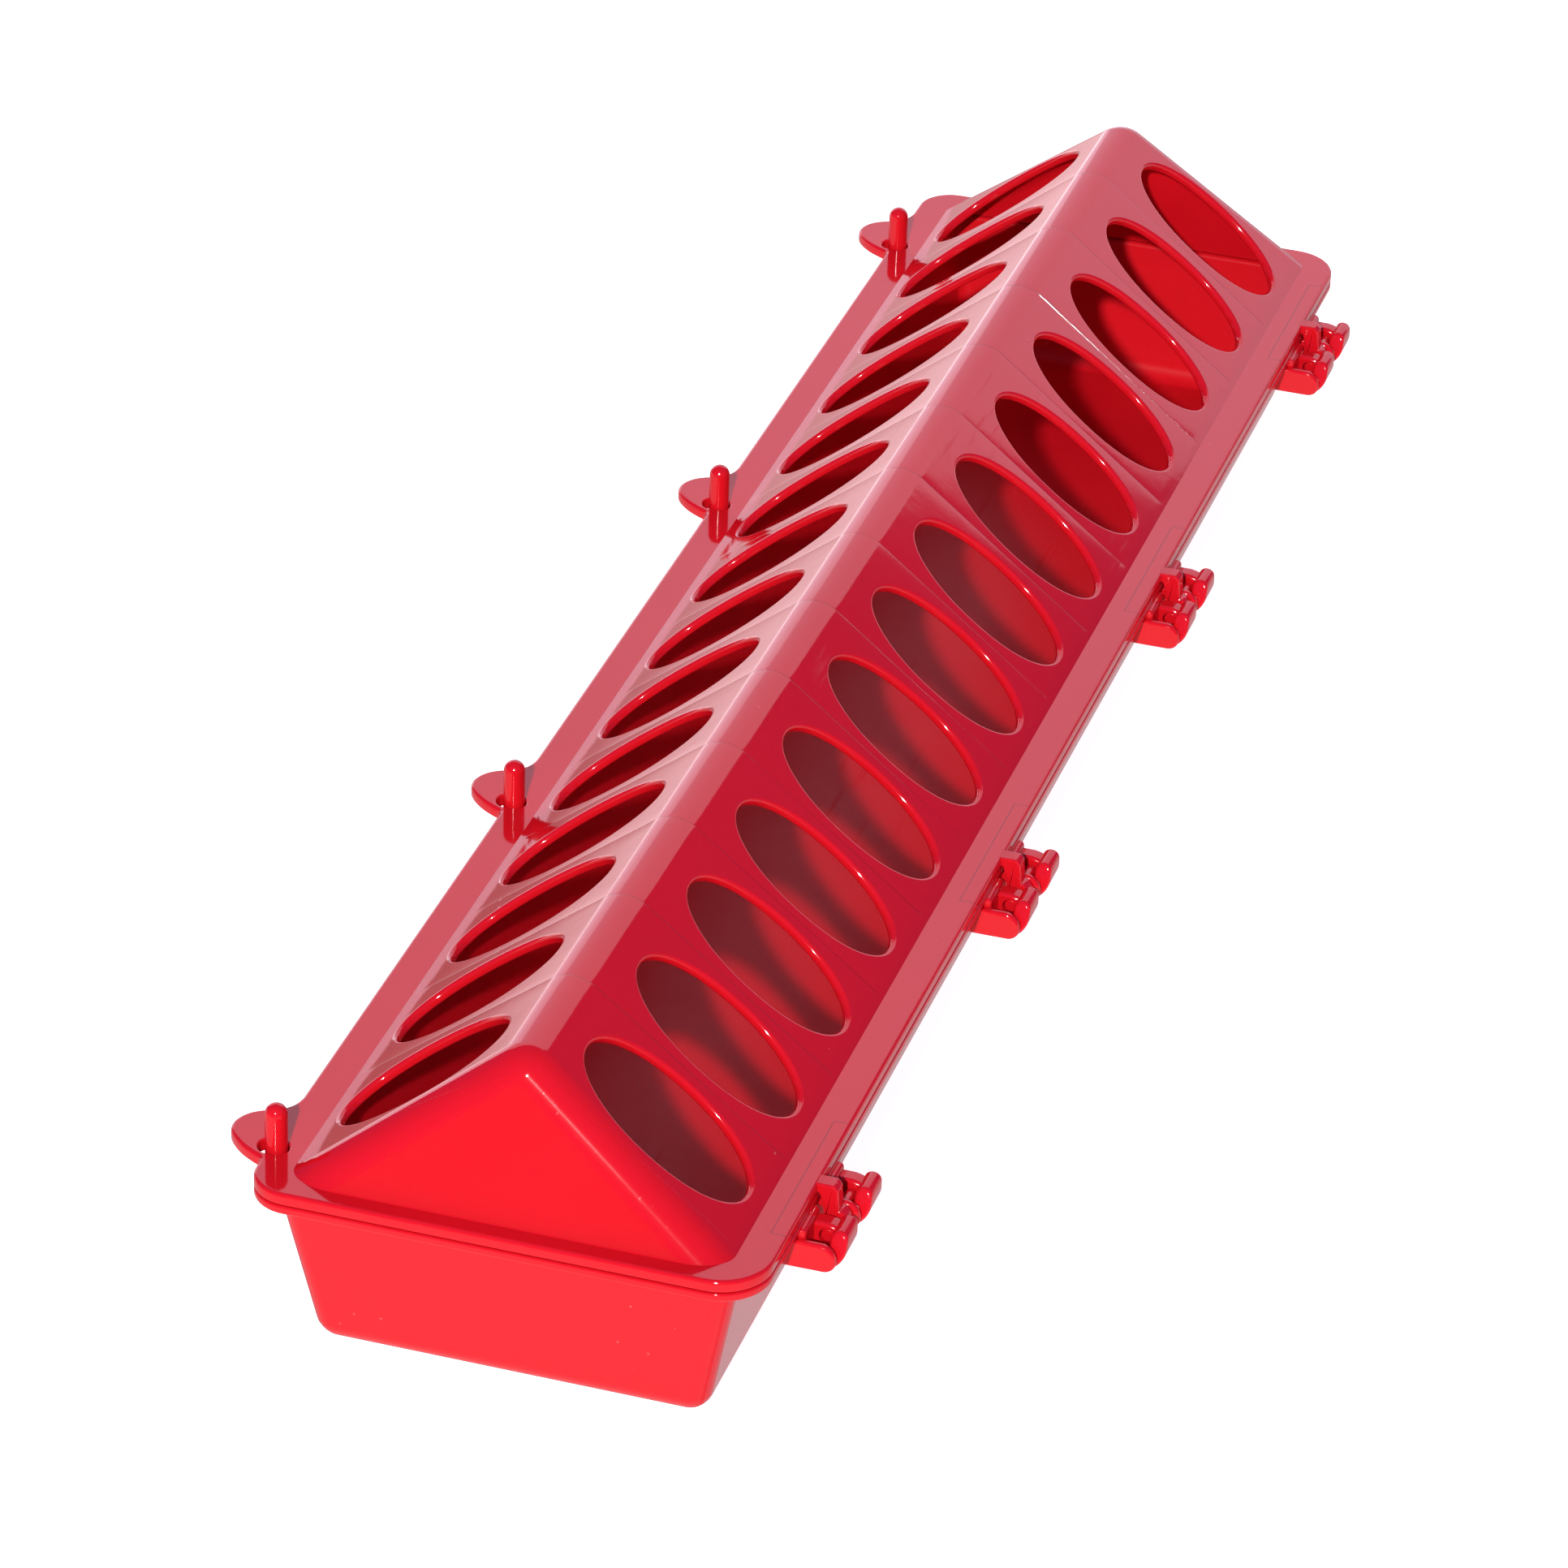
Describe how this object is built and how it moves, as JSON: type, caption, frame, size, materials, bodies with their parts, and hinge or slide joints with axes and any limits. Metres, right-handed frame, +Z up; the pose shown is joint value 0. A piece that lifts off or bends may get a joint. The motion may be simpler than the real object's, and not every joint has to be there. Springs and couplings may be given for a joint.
{
  "type": "trough feeder",
  "caption": "Long poultry trough feeder with a drafted tray and a flip-open gable roof lid pierced by rows of oval head holes.",
  "frame": {"origin": "centre of the tray's flat underside, on the ground", "axes": "+Z up, +Y along the trough, +X towards the hinge side of the lid, -X towards the finger tabs"},
  "size_m": [0.1325, 0.508, 0.077],
  "materials": {
    "tray_plastic": "glossy red injection-moulded polypropylene",
    "lid_plastic": "glossy red injection-moulded polypropylene"
  },
  "bodies": {
    "tray": {"feed_tray": "tray_plastic"},
    "lid": {"grille_lid": "lid_plastic"}
  },
  "joints": [
    {"name": "lid_hinge", "type": "hinge", "parent": "tray", "child": "lid", "pos_m": [0.0602, 0, 0.0323], "axis": [0, 1, 0], "range_deg": [0, 165]}
  ]
}
